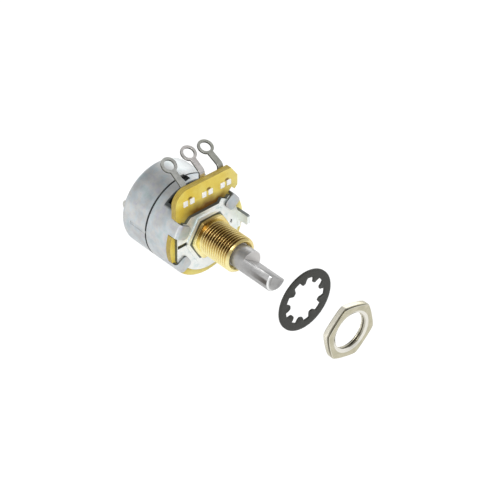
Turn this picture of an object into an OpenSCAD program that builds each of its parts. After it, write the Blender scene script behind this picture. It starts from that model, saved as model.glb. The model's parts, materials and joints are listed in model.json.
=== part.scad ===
// Rotary potentiometer with a rear on/off switch, shown with its lock washer and
// panel nut drawn off the threaded bushing along the shaft.
// Frame: the shaft points along -Y, the terminals stand up along +Z, +X is to the
// right seen from the shaft. The origin is on the shaft's axis, in the front face
// of the bushing's hexagonal shoulder, where the panel seats. Millimetres.

/* [Bushing] */
// Outside diameter of the bushing's thread
bushing_d = 9.525; // [9:0.005:10.2]
// Reach of the thread in front of the shoulder
bushing_reach = 10.5; // [9.5:0.1:14]
// Size of the hexagonal shoulder across its flats
shoulder_af = 11.1; // [10.8:0.1:12.4]
// Thickness of the hexagonal shoulder
shoulder_t = 1.1; // [0.8:0.1:1.6]
// Radial running clearance between the shaft and its bore
shaft_clearance = 0.04; // [0.02:0.01:0.08]

/* [Shaft] */
// Diameter of the shaft
shaft_d = 6.35; // [6:0.05:6.6]
// Reach of the shaft in front of the shoulder
shaft_reach = 23.4; // [21:0.1:30]
// Length of the flat at the shaft's end
flat_length = 9.4; // [6:0.1:10]
// Thickness of the shaft across its flat
flat_across = 3.85; // [3.6:0.05:5.6]
// How far the shaft stands turned from its middle position, in degrees
rest_turn = 37.5; // [-60:0.1:60]

/* [Front plate and board] */
// Thickness of the front plate
plate_t = 0.9; // [0.7:0.1:1.2]
// Inset of the front plate's lower rim from the cups' outside
plate_inset = 2; // [1.8:0.1:2.4]
// Inset of the front plate's sides from the cups' outside
plate_side_inset = 1.5; // [1.2:0.1:1.7]
// Height of the front plate's top edge above the axis
plate_top = 7.9; // [7.7:0.1:8.4]
// Rise of the raised pad around the shoulder
pad_t = 0.3; // [0.2:0.05:0.5]
// Reach of the anti-turn lug in front of the plate
lug_reach = 3.6; // [2.5:0.1:5]
// Width of the anti-turn lug at its end
lug_w = 2.7; // [2:0.1:3.4]
// Thickness of the phenolic board
board_t = 1.6; // [1.2:0.1:2]
// Height of the board's top edge above the axis
board_top = 16.1; // [15.4:0.1:18]
// Half the width of the board's terminal strip
board_half_w = 10.1; // [9.8:0.1:10.8]
// Diameter of the opening in the middle of the board
board_eye_d = 10.6; // [10.4:0.1:11]

/* [Cups] */
// Outside diameter of both cups and of the board's round part
can_d = 23.8; // [23.4:0.1:25]
// Wall of the cups' drawn steel
can_wall = 0.5; // [0.4:0.05:0.6]
// Depth of the front cup behind the board
front_cup_depth = 7.8; // [7.7:0.1:9]
// Depth of the switch cup behind the insulating disc
switch_cup_depth = 9.35; // [9.3:0.05:11]
// Rounding of the front cup's folds over the plate
fold_round = 0.9; // [0.7:0.1:1]
// Rounding of the switch cup's rear edge
cup_round = 1.3; // [0.6:0.1:1.8]
// Thickness of the insulating disc in the seam
insulator_t = 0.25; // [0.15:0.05:0.4]
// Direction of the folded tab beside the lug, in degrees from the right
tab_turn = 42; // [38:1:46]
// Length of the folded tabs towards the axis
tab_length = 3.9; // [3:0.1:4.2]
// Width of the folded tabs
tab_w = 3.8; // [3:0.1:4.4]
// Depth of the terminal window in the front cup
window_depth = 4.6; // [3.5:0.1:5]

/* [Terminals] */
// Distance between neighbouring terminals
terminal_pitch = 6; // [5.8:0.1:6.2]
// Thickness of the terminals' sheet
terminal_t = 0.5; // [0.4:0.05:0.6]
// Width of the terminals' stems
stem_w = 1.7; // [1.2:0.1:2]
// Outside diameter of the solder eyelets
eyelet_d = 4.3; // [3.8:0.1:4.6]
// Diameter of the holes in the solder eyelets
eyelet_hole_d = 2.8; // [2.2:0.1:3]
// Outside diameter of the switch terminals' eyelets
switch_eyelet_d = 3.7; // [3.2:0.1:4.2]
// Diameter of the holes in the switch terminals' eyelets
switch_hole_d = 2; // [1.6:0.1:2.2]
// Backward bend of the left terminal, in degrees
left_bend = 58; // [50:1:70]
// Backward bend of the centre terminal, in degrees
centre_bend = 60; // [50:1:70]
// Backward bend of the right terminal, in degrees
right_bend = 66; // [50:1:70]
// Length of the left terminal from its bend to its eyelet's centre
left_stem = 5.6; // [4.6:0.1:7]
// Length of the centre terminal from its bend to its eyelet's centre
centre_stem = 5; // [4.6:0.1:7]
// Length of the right terminal from its bend to its eyelet's centre
right_stem = 5.2; // [4.6:0.1:7]

/* [Rotor and track] */
// Gap between the rotor's disc and the front cup's wall
rotor_gap = 1.7; // [1.4:0.1:2]
// Thickness of the rotor's disc
rotor_t = 2.4; // [1.8:0.1:2.4]
// Gap between the resistive track and the front cup's wall
track_gap = 1.6; // [1.4:0.1:1.8]
// Width of the resistive track
track_w = 1.8; // [1.4:0.1:2]
// Inner radius of the collector ring
collector_r = 5.6; // [5.5:0.05:5.8]
// Width of the collector ring
collector_w = 1; // [0.8:0.1:1.2]
// Thickness of the printed track and ring
print_t = 0.08; // [0.05:0.01:0.12]
// Half the angle that the shaft can turn through, in degrees
half_turn = 150; // [140:1:150]

/* [Switch] */
// Swing of the switch rocker to each side of its middle, in degrees
rocker_swing = 12; // [8:1:12]
// Distance from the rocker's pivot to the switch cup's wall
pivot_inset = 4.9; // [4.4:0.1:5.3]
// Distance from the axis to the middle of the drive finger
finger_r = 5.3; // [5:0.1:5.4]
// Distance from each switch terminal to the switch cup's wall
switch_terminal_inset = 4.2; // [3.8:0.1:4.4]

/* [Washer and nut] */
// Outside diameter of the lock washer
washer_d = 16.8; // [16:0.1:18]
// Thickness of the lock washer
washer_t = 0.5; // [0.4:0.05:0.7]
// Number of teeth on the lock washer
tooth_count = 9; // [7:1:12]
// Twist of each tooth out of the washer's plane, in degrees
tooth_twist = 9; // [0:1:14]
// Turn of the washer from having a tooth to the right, in degrees
washer_turn = 16; // [0:1:39]
// Distance from the shoulder to the washer as laid out
washer_out = 32.9; // [30:0.1:40]
// Size of the nut across its flats
nut_af = 14.29; // [13.8:0.01:15.9]
// Thickness of the nut
nut_t = 2; // [1.8:0.1:2.6]
// Distance from the washer to the nut as laid out
nut_out = 13.7; // [12:0.1:20]
// Radial width of the nut's inner chamfers
nut_mouth = 0.9; // [0.4:0.05:1.1]
// Depth of the nut's inner chamfers
nut_chamfer = 0.4; // [0.3:0.05:0.7]
// Turn of the nut from having a corner to the right, in degrees
nut_turn = 44; // [0:1:59]

/* [Hidden] */

fine = 96;
medium = 48;
eps = 0.01;

// Places along the axis, from the seat backwards
pad_y = shoulder_t;
plate_y = pad_y + pad_t;
board_y = plate_y + plate_t;
print_y = board_y + board_t;
cup_y = print_y;
foot_y = print_y + print_t;
seam_y = cup_y + front_cup_depth;
switch_cup_y = seam_y + insulator_t;
rear_y = switch_cup_y + switch_cup_depth;

// Radii
bushing_r = bushing_d / 2;
shaft_r = shaft_d / 2;
bore_r = shaft_r + shaft_clearance;
can_r = can_d / 2;
can_inner_r = can_r - can_wall;
plate_r = can_r - plate_inset;
plate_half_w = can_r - plate_side_inset;
rotor_r = can_inner_r - rotor_gap;
track_outer_r = can_inner_r - track_gap;
track_r = track_outer_r - track_w;
pivot_drop = can_inner_r - pivot_inset;
switch_terminal_x = can_inner_r - switch_terminal_inset;
eye_r = board_eye_d / 2;

// Bushing details
tail_r = 4;
stake_r = 4.7;
stake_t = 0.5;
tail_end_y = board_y + stake_t;
bushing_chamfer = 0.6;
countersink_r = bore_r + 0.75;
pad_margin = 1.1;

// Plate details
tab_turns = [tab_turn, 151, 210, 360 - tab_turn];
tab_y = plate_y - can_wall;
tab_round = 1.1;
tab_inner_r = can_r - tab_length;
inner_fold = fold_round - can_wall;
ear_r = can_inner_r - inner_fold;
ear_w = tab_w + 0.6;
slot_w = 1;
slot_l = 2.9;
slot_x = -8.8;
pilot_r = 0.45;
pilot_x = 7.2;
lug_x = plate_half_w - plate_t;
lug_root_w = 5.2;
lug_z = 0.2;
slot_z = 0.7;
pilot_z = 0.7;
side_low = 4.6;
side_high = 3.2;
plate_ear_top = plate_top + 1.5;
plate_ear_x = 4.2;

// Board details
strip_round = 4;
strip_chamfer_x = 2.2;
strip_chamfer_z = 3.1;
strip_foot = [[-8.9, 6.8, 8.4], [8.3, 8.3, 10]];
tab_notch = 0.15;

// Terminal details
foot_bottom = can_r - 1;
foot_w = 3.4;
foot_h = 4.4;
prong_w = 0.9;
prong_h = 0.5;
prong_x = 1.05;
prong_z = foot_bottom + 0.8;
prong_fit = 0.06;
clinch_w = 1.3;
clinch_h = 1.5;
clinch_t = 0.35;
bend_r = 1;
left_rise = 0;
centre_rise = 1.5;
right_rise = 0.7;
lead_w = foot_w - 1;
lead_bottom = track_r - 1.2;
lead_top = foot_bottom + 0.4;
window_half = terminal_pitch + lead_w / 2 + 0.1;
window_bottom = foot_bottom - 3.5;

// Shaft details
neck_r = shaft_r - 0.2;
neck_l = 1.1;
neck_y = -bushing_reach - 0.1;
groove_r = 2.6;
ring_t = 0.5;
ring_play = 0.1;
ring_y = tail_end_y + ring_play;
ring_r = 4.6;
ring_gap = 3.2;
tip_relief = 0.02;
tip_r = shaft_r - tip_relief;
drive_flat = 2.4;
end_chamfer = 0.6;

// Rotor details
hub_r = 4.3;
hub_y = foot_y + 0.3;
rotor_y = cup_y + 1.7;
hub_rear_y = rotor_y + rotor_t + 1;
rotor_grip = 0.02;
stop_half = 11;
stop_gap = 1;
stop_tab_half = 180 - half_turn - stop_half - stop_gap;
stop_r = can_inner_r - 0.25;
stop_lug_r = rotor_r + 0.2;
stop_y = rotor_y + 0.2;
stop_t = rotor_t - 0.4;
track_gap_half = 24;
contact_gap = 0.05;
wiper_t = 0.2;
finger_w = 1.1;
wiper_plate_r = 6.4;

// Drive dog and switch details
dog_y = hub_rear_y;
dog_t = 0.8;
shaft_rear_y = dog_y + dog_t + 0.2;
dog_hub_r = 4.1;
dog_finger_half = 0.7;
dog_finger_w = 1.8;
dog_end_y = switch_cup_y + 1.35;
passage_r = finger_r + dog_finger_half + 1;
dog_direction = 90 - half_turn;
base_t = 2.7;
base_rear_y = rear_y - can_wall;
base_y = base_rear_y - base_t;
base_r = can_inner_r - 0.1;
boss_w = 2 * switch_terminal_x + 3;
boss_h = 5.2;
boss_rise = 0.7;
boss_gap = 0.2;
terminal_z = -0.7;
blade_w = 1.7;
blade_fit = 0.05;
fixed_contact_r = 1.2;
fixed_contact_t = 1.2;
switch_eyelet_y = rear_y + 2.8;
rocker_t = 2;
rocker_y = dog_end_y + 0.7;
rocker_arm_w = 3.6;
rocker_foot_r = 2.9;
rocker_top = finger_r + 0.9;
fork_w = 2.6;
fork_depth = 2.6;
pivot_r = 1.2;
pivot_fit = 0.05;
pivot_head_r = 2;
pivot_head_t = 0.4;
pivot_play = 0.1;
bridge_t = 0.4;
bridge_w = 2.2;
bridge_y = base_y - fixed_contact_t - bridge_t - 0.15;
spring_r = 0.8;
spring_wire = 0.3;
spring_turns = 3;
spring_steps = 16;
spring_sides = 6;
pocket_r = 1.2;
pocket_y = rocker_y + 0.7;

// The cups at the seam: rounding, the notch that shows from above, and the pressed groove
seam_round = 0.3;
notch_w = 1.9;
notch_depth = 2.1;
notch_x = 0.4;
rim_notch_depth = 0.5;
groove_z = 0.4;
groove_length = 5.8;
groove_round = 0.6;
groove_out = 0.32;

// Washer and nut details
washer_valley_r = 0.75 * washer_d / 2;
tooth_clearance = 0.09;
tooth_tip_r = bushing_r + tooth_clearance;
tooth_root_w = 2.5;
tooth_tip_w = 1.3;
thread_clearance = 0.05;
nut_bore_r = bushing_r + thread_clearance;
nut_corner_cut = 0.35;
washer_y = -washer_out - washer_t;
nut_y = washer_y - nut_out - nut_t;

// A cylinder along the axis, from y0 backwards
module barrel(r, y0, length, n = fine) {
    translate([0, y0, 0]) rotate([-90, 0, 0]) cylinder(r = r, h = length, $fn = n);
}

// A cone along the axis, from radius r0 at y0 to radius r1
module taper(r0, r1, y0, length, n = fine) {
    translate([0, y0, 0]) rotate([-90, 0, 0]) cylinder(r1 = r0, r2 = r1, h = length, $fn = n);
}

// A flat outline drawn in X and Z, given thickness from y0 backwards
module sheet(y0, t) {
    translate([0, y0 + t, 0]) rotate([90, 0, 0]) linear_extrude(height = t) children();
}

// A pie-shaped outline from angle a0 to a1, at most half a turn
module sector(r, a0, a1) {
    far = r / cos((a1 - a0) / 4);
    middle = (a0 + a1) / 2;
    polygon([[0, 0], far * [cos(a0), sin(a0)], far * [cos((a0 + middle) / 2), sin((a0 + middle) / 2)],
        far * [cos(middle), sin(middle)], far * [cos((a1 + middle) / 2), sin((a1 + middle) / 2)],
        far * [cos(a1), sin(a1)]]);
}

// A hexagon with a corner to the right, by its size across the flats
module hexagon(af) {
    circle(r = af / sqrt(3), $fn = 6);
}

// Turns its children about the axis from the drawn place to angle a in X and Z
module turned(a) {
    rotate([0, -a, 0]) children();
}

// The outline of a strip that runs outwards along X from r0 to r1
module ray(r0, r1, w) {
    translate([r0, -w / 2]) square([r1 - r0, w]);
}

// Places its children at each of the four folded tabs
module at_tabs() {
    for (a = tab_turns) rotate(a) children();
}

module plate_outline() {
    intersection() {
        union() {
            circle(r = plate_r, $fn = fine);
            at_tabs() ray(0, ear_r, ear_w);
            translate([-plate_half_w, -side_low]) square([plate_half_w, side_low + side_high]);
            translate([0, lug_z - lug_root_w / 2]) square([lug_x, lug_root_w]);
        }
        polygon([[-plate_half_w, -can_r], [plate_half_w, -can_r], [plate_half_w, plate_ear_top],
            [plate_ear_x, plate_ear_top], [plate_ear_x - 1, plate_top], [-plate_half_w, plate_top]]);
        circle(r = ear_r, $fn = fine);
    }
}

module front_plate() {
    color("gainsboro") difference() {
        union() {
            sheet(plate_y, plate_t) plate_outline();
            sheet(pad_y, pad_t + eps) hexagon(shoulder_af + 2 * pad_margin);
            lug();
        }
        barrel(tail_r, pad_y - 1, plate_t + pad_t + 2);
        sheet(plate_y - 1, plate_t + 2) {
            translate([slot_x - slot_l / 2, slot_z - slot_w / 2]) square([slot_l, slot_w]);
        }
        translate([pilot_x, 0, pilot_z]) barrel(pilot_r, plate_y - 1, plate_t + 2, medium);
    }
}

// The tongue that is folded forward from the plate's right edge
module lug() {
    front = plate_y - lug_reach;
    low = lug_z - lug_root_w / 2;
    high = low + lug_root_w;
    tip_low = high - lug_w;
    translate([lug_x, 0, 0]) rotate([90, 0, 90]) linear_extrude(height = plate_t)
        polygon([[plate_y + plate_t, low], [plate_y + plate_t, high], [plate_y, high],
            [front + 0.3, high], [front, high - 0.3], [front, tip_low + 0.3], [front + 0.3, tip_low],
            [plate_y - 1, tip_low], [plate_y - 0.3, tip_low - 0.5], [plate_y - 0.1, low]]);
}

module bushing() {
    color("goldenrod") difference() {
        union() {
            barrel(bushing_r, bushing_chamfer - bushing_reach, bushing_reach - bushing_chamfer + eps);
            taper(bushing_r - bushing_chamfer, bushing_r, -bushing_reach, bushing_chamfer);
            sheet(0, shoulder_t) hexagon(shoulder_af);
            barrel(tail_r, shoulder_t - eps, board_y - shoulder_t + 2 * eps);
            barrel(stake_r, board_y, stake_t);
        }
        barrel(bore_r, -bushing_reach - 1, bushing_reach + tail_end_y + 2);
        taper(countersink_r + 0.5, bore_r, -bushing_reach - 0.5, countersink_r - bore_r + 0.5);
    }
}

// The board's round part and its terminal strip
module board_outline() {
    circle(r = can_r, $fn = fine);
    difference() {
        translate([-board_half_w, 0]) square([2 * board_half_w, board_top]);
        translate([-board_half_w, board_top]) difference() {
            translate([-1, -strip_round]) square([strip_round + 1, strip_round + 1]);
            translate([strip_round, -strip_round]) circle(r = strip_round, $fn = fine);
        }
        translate([board_half_w, board_top])
            polygon([[1, 1], [-strip_chamfer_x - 1, 1], [-strip_chamfer_x, 0], [0, -strip_chamfer_z],
                [1, -strip_chamfer_z]]);
        for (foot = strip_foot)
            polygon([[foot[0], foot[1]], [sign(foot[0]) * board_half_w, foot[2]],
                [sign(foot[0]) * (board_half_w + 1), foot[2]], [sign(foot[0]) * (board_half_w + 1), 0],
                [foot[0], 0]]);
    }
}

// Places its children at each of the two prongs of a terminal
module at_prongs() {
    for (side = [-1, 1]) translate([side * prong_x, 0, 0]) children();
}

module element_board() {
    color("goldenrod") difference() {
        sheet(board_y, board_t) difference() {
            board_outline();
            circle(r = eye_r, $fn = fine);
            at_tabs() ray(can_inner_r - tab_notch, can_r + 1, tab_w + 2 * tab_notch);
        }
        for (i = [-1, 0, 1]) translate([i * terminal_pitch, 0, prong_z]) at_prongs()
            translate([-prong_w / 2 - prong_fit, board_y - 1, -prong_h / 2 - prong_fit])
                cube([prong_w + 2 * prong_fit, board_t + 2, prong_h + 2 * prong_fit]);
    }
}

// A ring outline between two radii
module ring(r0, r1) {
    difference() {
        circle(r = r1, $fn = fine);
        circle(r = r0, $fn = fine);
    }
}

module resistive_track() {
    color("dimgray") sheet(print_y, print_t) {
        difference() {
            ring(track_r, track_outer_r);
            sector(can_r, 90 - track_gap_half, 90 + track_gap_half);
        }
        for (side = [-1, 1]) translate([side * terminal_pitch - lead_w / 2, lead_bottom])
            square([lead_w, lead_top - lead_bottom]);
    }
}

module collector_ring() {
    color("silver") sheet(print_y, print_t) {
        ring(collector_r, collector_r + collector_w);
        translate([-lead_w / 2, collector_r + collector_w / 2])
            square([lead_w, lead_top - collector_r - collector_w / 2]);
    }
}

// A tinned terminal: its foot behind the board, two prongs clinched on the front,
// and a stem that rises, bends backwards by the given angle and ends in an eyelet
module terminal(rise, bend, stem_l) {
    stem_z = foot_bottom + foot_h + rise;
    sheet(foot_y, terminal_t) {
        translate([-foot_w / 2, foot_bottom]) square([foot_w, foot_h]);
        translate([-stem_w / 2, foot_bottom]) square([stem_w, foot_h + rise + eps]);
    }
    at_prongs() translate([0, 0, prong_z]) {
        translate([-prong_w / 2, board_y - clinch_t, -prong_h / 2])
            cube([prong_w, foot_y - board_y + clinch_t + eps, prong_h]);
        translate([-clinch_w / 2, board_y - clinch_t, -prong_h / 2])
            cube([clinch_w, clinch_t, clinch_h]);
    }
    translate([0, foot_y + terminal_t + bend_r, stem_z]) {
        rotate([90, 0, 90]) rotate([0, 0, 180 - bend]) rotate_extrude(angle = bend, $fn = fine)
            translate([bend_r, -stem_w / 2]) square([terminal_t, stem_w]);
        rotate([-bend, 0, 0]) translate([0, -terminal_t - bend_r, 0]) difference() {
            union() {
                translate([-stem_w / 2, 0, -eps]) cube([stem_w, terminal_t, stem_l - eyelet_hole_d / 2]);
                translate([0, 0, stem_l]) barrel(eyelet_d / 2, 0, terminal_t, medium);
            }
            translate([0, 0, stem_l]) barrel(eyelet_hole_d / 2, -1, terminal_t + 2, medium);
        }
    }
}

module terminal_left() {
    color("silver") translate([-terminal_pitch, 0, 0]) terminal(left_rise, left_bend, left_stem);
}

module terminal_centre() {
    color("silver") terminal(centre_rise, centre_bend, centre_stem);
}

module terminal_right() {
    color("silver") translate([terminal_pitch, 0, 0]) terminal(right_rise, right_bend, right_stem);
}

// The outline of a tab that points to the right, with rounded corners at its end
module tab_outline() {
    ray(tab_inner_r, can_r + 2, tab_w - 2 * tab_round);
    ray(tab_inner_r + tab_round, can_r + 2, tab_w);
    for (side = [-1, 1]) translate([tab_inner_r + tab_round, side * (tab_w / 2 - tab_round)])
        circle(r = tab_round, $fn = medium);
}

// The drawn section of the front cup with its front edge folded in all round
module front_cup_section() {
    floor_y = seam_y - can_wall;
    difference() {
        union() {
            translate([0, cup_y]) cup_profile(can_r, front_cup_depth, seam_round);
            translate([0, cup_y]) mirror([0, 1]) cup_profile(can_r, cup_y - tab_y, fold_round);
        }
        translate([0, cup_y - eps]) square([can_inner_r, floor_y - cup_y + eps]);
        translate([0, cup_y]) mirror([0, 1])
            cup_profile(can_inner_r, cup_y - plate_y, inner_fold);
        translate([0, tab_y - 1]) square([tab_inner_r, cup_y]);
        translate([0, floor_y - 1]) square([passage_r, can_wall + 2]);
    }
}

module front_can() {
    color("lightsteelblue") {
        difference() {
            rotate([-90, 0, 0]) rotate_extrude($fn = fine) front_cup_section();
            sheet(tab_y - 1, cup_y - tab_y + 1) difference() {
                circle(r = can_r + 1, $fn = fine);
                at_tabs() tab_outline();
            }
            translate([-window_half, cup_y - 1, window_bottom])
                cube([2 * window_half, window_depth + 1, can_r]);
            translate([notch_x, seam_y - notch_depth, can_r - 1]) linear_extrude(height = 2)
                polygon([[-notch_w / 2, 0], [notch_w / 2, 0.4], [notch_w / 2, notch_depth + 1],
                    [0.5 - notch_w / 2, notch_depth + 1]]);
        }
        sheet(stop_y, stop_t) intersection() {
            ring(stop_lug_r, can_inner_r + eps);
            sector(can_r, -90 - stop_half, -90 + stop_half);
        }
    }
}

module rear_can() {
    color("lightsteelblue") difference() {
        translate([0, switch_cup_y, 0]) rotate([-90, 0, 0]) rotate_extrude($fn = fine)
            switch_cup_section();
        translate([-boss_w / 2 - boss_gap, base_rear_y - 1, -boss_h / 2 - boss_gap + terminal_z])
            cube([boss_w + 2 * boss_gap, can_wall + 2, boss_h + 2 * boss_gap]);
        translate([notch_x + 0.25 - notch_w / 2, switch_cup_y - 1, can_r - 1])
            cube([notch_w - 0.5, rim_notch_depth + 1, 2]);
        translate([-can_r - groove_out, 0, groove_z])
            barrel(groove_round, switch_cup_y - 1, groove_length + 1, medium);
    }
}

// The drawn section of the switch cup: radius to the right, depth upwards
module switch_cup_section() {
    inner_round = cup_round - can_wall;
    difference() {
        cup_profile(can_r, switch_cup_depth, cup_round);
        translate([0, -1]) cup_profile(can_inner_r, switch_cup_depth - can_wall + 1, inner_round);
    }
}

// A filled cup section with one rounded corner
module cup_profile(r, depth, rounding) {
    square([r - rounding, depth]);
    square([r, depth - rounding]);
    translate([r - rounding, depth - rounding]) intersection() {
        circle(r = rounding, $fn = medium);
        square(rounding);
    }
}

module insulating_disc() {
    color("#202020") sheet(seam_y, insulator_t) ring(passage_r, can_r - 0.15);
}

// The moulded base that closes the switch cup and holds its two terminals
module switch_base() {
    color("saddlebrown") difference() {
        union() {
            barrel(base_r - cup_round, base_y, base_t);
            barrel(base_r, base_y, base_t - cup_round);
            taper(base_r, base_r - cup_round, base_rear_y - cup_round - eps, cup_round + eps);
            translate([-boss_w / 2, base_y, terminal_z - boss_h / 2])
                cube([boss_w, base_t + can_wall + boss_rise, boss_h]);
        }
        for (side = [-1, 1])
            translate([side * switch_terminal_x - terminal_t / 2 - blade_fit, base_y - 1,
                terminal_z - blade_w / 2 - blade_fit])
                cube([terminal_t + 2 * blade_fit, base_t + 4, blade_w + 2 * blade_fit]);
        translate([0, 0, -pivot_drop]) barrel(pivot_r, base_y - 1, base_t + 4, medium);
    }
}

// A switch terminal: a fixed contact inside, a blade through the base and an eyelet
module switch_terminal() {
    translate([0, 0, terminal_z]) {
        barrel(fixed_contact_r, base_y - fixed_contact_t, fixed_contact_t, medium);
        difference() {
            union() {
                translate([-terminal_t / 2, base_y - eps, -blade_w / 2])
                    cube([terminal_t, switch_eyelet_y - base_y - switch_hole_d / 2, blade_w]);
                translate([-terminal_t / 2, switch_eyelet_y, 0]) rotate([0, 90, 0])
                    cylinder(d = switch_eyelet_d, h = terminal_t, $fn = medium);
            }
            translate([-1, switch_eyelet_y, 0]) rotate([0, 90, 0])
                cylinder(d = switch_hole_d, h = 2, $fn = medium);
        }
    }
}

module switch_terminal_left() {
    color("silver") translate([-switch_terminal_x, 0, 0]) switch_terminal();
}

module switch_terminal_right() {
    color("silver") translate([switch_terminal_x, 0, 0]) switch_terminal();
}

// The rivet that the rocker swings on
module rocker_pivot() {
    head_y = rocker_y - pivot_play - pivot_head_t;
    color("goldenrod") translate([0, 0, -pivot_drop]) {
        barrel(pivot_r, head_y, base_rear_y - head_y, medium);
        barrel(pivot_head_r, head_y, pivot_head_t, medium);
    }
}

// Turns what belongs to the shaft to the angle it rests at
module at_rest_turn() {
    rotate([0, rest_turn, 0]) children();
}

module shaft() {
    color("darkgray") at_rest_turn() difference() {
        union() {
            barrel(shaft_r, flat_length - shaft_reach, shaft_reach - flat_length + shaft_rear_y);
            barrel(tip_r, end_chamfer - shaft_reach, flat_length - end_chamfer + eps);
            taper(tip_r - end_chamfer, tip_r, -shaft_reach, end_chamfer);
        }
        difference() {
            barrel(shaft_r + 1, neck_y, neck_l);
            barrel(neck_r, neck_y - 1, neck_l + 2);
        }
        translate([-shaft_r - 1, -shaft_reach - 1, flat_across - shaft_r])
            cube([shaft_d + 2, flat_length + 1, shaft_r]);
        difference() {
            barrel(shaft_r + 1, ring_y - 0.03, ring_t + 0.06);
            barrel(groove_r, ring_y - 1, ring_t + 2);
        }
        for (side = [-1, 1]) translate([side * (drive_flat + 2) - 2, hub_y, -shaft_r - 1])
            cube([4, shaft_rear_y, shaft_d + 2]);
    }
}

// The open spring ring that holds the shaft in the bushing
module retaining_ring() {
    color("gray") at_rest_turn() sheet(ring_y, ring_t) difference() {
        ring(groove_r + 0.04, ring_r);
        translate([-ring_gap / 2, 0]) square([ring_gap, ring_r + 1]);
    }
}

// The hole for the shaft's two drive flats
module drive_hole(y0, length) {
    intersection() {
        barrel(shaft_r + rotor_grip, y0, length);
        translate([-drive_flat - rotor_grip, y0 - 1, -shaft_r - 1])
            cube([2 * (drive_flat + rotor_grip), length + 2, shaft_d + 2]);
    }
}

// The moulded rotor, with the tab that meets the front cup's stop
module rotor() {
    color("#3a2a20") at_rest_turn() difference() {
        union() {
            barrel(hub_r, hub_y, hub_rear_y - hub_y);
            barrel(rotor_r, rotor_y, rotor_t);
            sheet(stop_y, stop_t) intersection() {
                circle(r = stop_r, $fn = fine);
                sector(can_r, 90 - stop_tab_half, 90 + stop_tab_half);
            }
        }
        drive_hole(hub_y - 1, hub_rear_y - hub_y + 2);
    }
}

// The stamped wiper, with one finger for the track and one for the collector ring
module wiper() {
    color("gold") at_rest_turn() {
        sheet(rotor_y - wiper_t, wiper_t) difference() {
            union() {
                circle(r = wiper_plate_r, $fn = fine);
                translate([-finger_w, -track_outer_r + 0.3]) square([2 * finger_w, track_outer_r]);
            }
            circle(r = hub_r + 0.03, $fn = fine);
        }
        wiper_arm(track_r + track_w / 2);
        wiper_arm(collector_r + collector_w / 2);
    }
}

// A bent finger of the wiper that touches its ring at radius r, straight below the axis
module wiper_arm(r) {
    touch_y = foot_y + contact_gap;
    root_y = rotor_y - wiper_t;
    translate([0, 0, -r - finger_w / 2]) linear_extrude(height = finger_w)
        polygon([[0, root_y + wiper_t], [0.8, root_y + wiper_t], [0.8, root_y],
            [-1.6, touch_y], [-2.1, touch_y], [-2.4, touch_y + 0.3], [-2.2, touch_y + 0.45],
            [-1.6, touch_y + wiper_t + 0.1]]);
}

// The dog on the shaft's rear end that throws the switch
module drive_dog() {
    color("gray") at_rest_turn() difference() {
        union() {
            barrel(dog_hub_r, dog_y, dog_t);
            turned(dog_direction) sheet(dog_y, dog_t)
                ray(0, finger_r + dog_finger_half, dog_finger_w);
            turned(dog_direction) sheet(dog_y, dog_end_y - dog_y)
                ray(finger_r - dog_finger_half, finger_r + dog_finger_half, dog_finger_w);
        }
        drive_hole(dog_y - 1, dog_t + 2);
    }
}

// Turns what belongs to the rocker to the side it rests at
module at_rocker() {
    translate([0, 0, -pivot_drop]) rotate([0, rocker_swing, 0]) children();
}

// The fibre rocker, forked at the top and swung by the drive dog
module switch_rocker() {
    arm = pivot_drop + rocker_top;
    color("#6b3d1c") at_rocker() difference() {
        sheet(rocker_y, rocker_t) difference() {
            union() {
                circle(r = rocker_foot_r, $fn = medium);
                translate([-rocker_arm_w / 2, 0]) square([rocker_arm_w, arm - fork_depth]);
                translate([-rocker_arm_w / 2 - 0.8, arm - fork_depth - 1.2])
                    square([rocker_arm_w + 1.6, fork_depth + 1.2]);
            }
            translate([-fork_w / 2, arm - fork_depth]) square([fork_w, fork_depth + 1]);
        }
        barrel(pivot_r + pivot_fit, rocker_y - 1, rocker_t + 2, medium);
        translate([0, 0, pivot_drop + terminal_z]) barrel(pocket_r, pocket_y, rocker_t, medium);
    }
}

// The brass blade that joins the two fixed contacts
module bridge_contact() {
    color("gold") at_rocker() translate([0, 0, pivot_drop + terminal_z]) sheet(bridge_y, bridge_t) {
        translate([-switch_terminal_x, -bridge_w / 2]) square([2 * switch_terminal_x, bridge_w]);
        for (side = [-1, 1]) translate([side * switch_terminal_x, 0])
            circle(d = bridge_w, $fn = medium);
    }
}

// One ring of points round the spring's wire, at step i along its coil
function wire_ring(i, rise) = let (a = i * 360 / spring_steps)
    [for (j = [0 : spring_sides - 1]) let (b = j * 360 / spring_sides)
        let (r = spring_r + spring_wire / 2 * cos(b))
        [r * cos(a), i * rise + spring_wire / 2 * sin(b), -r * sin(a)]];

// A round wire coiled about Y, as rings of points joined by triangles
module coil_spring(length) {
    steps = spring_turns * spring_steps;
    last = steps * spring_sides;
    points = [for (i = [0 : steps]) each wire_ring(i, length / steps)];
    sides = [for (i = [0 : steps - 1], j = [0 : spring_sides - 1])
        let (a = i * spring_sides + j, b = i * spring_sides + (j + 1) % spring_sides)
        each [[a, b, b + spring_sides], [a, b + spring_sides, a + spring_sides]]];
    ends = [[for (j = [spring_sides - 1 : -1 : 0]) j], [for (j = [0 : spring_sides - 1]) last + j]];
    polyhedron(points = points, faces = concat(sides, ends));
}

// The coil that presses the blade on the contacts, in the rocker's pocket
module contact_spring() {
    coil_l = bridge_y - pocket_y - spring_wire - eps;
    color("silver") at_rocker()
        translate([0, pocket_y + spring_wire / 2, pivot_drop + terminal_z]) coil_spring(coil_l);
}

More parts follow.
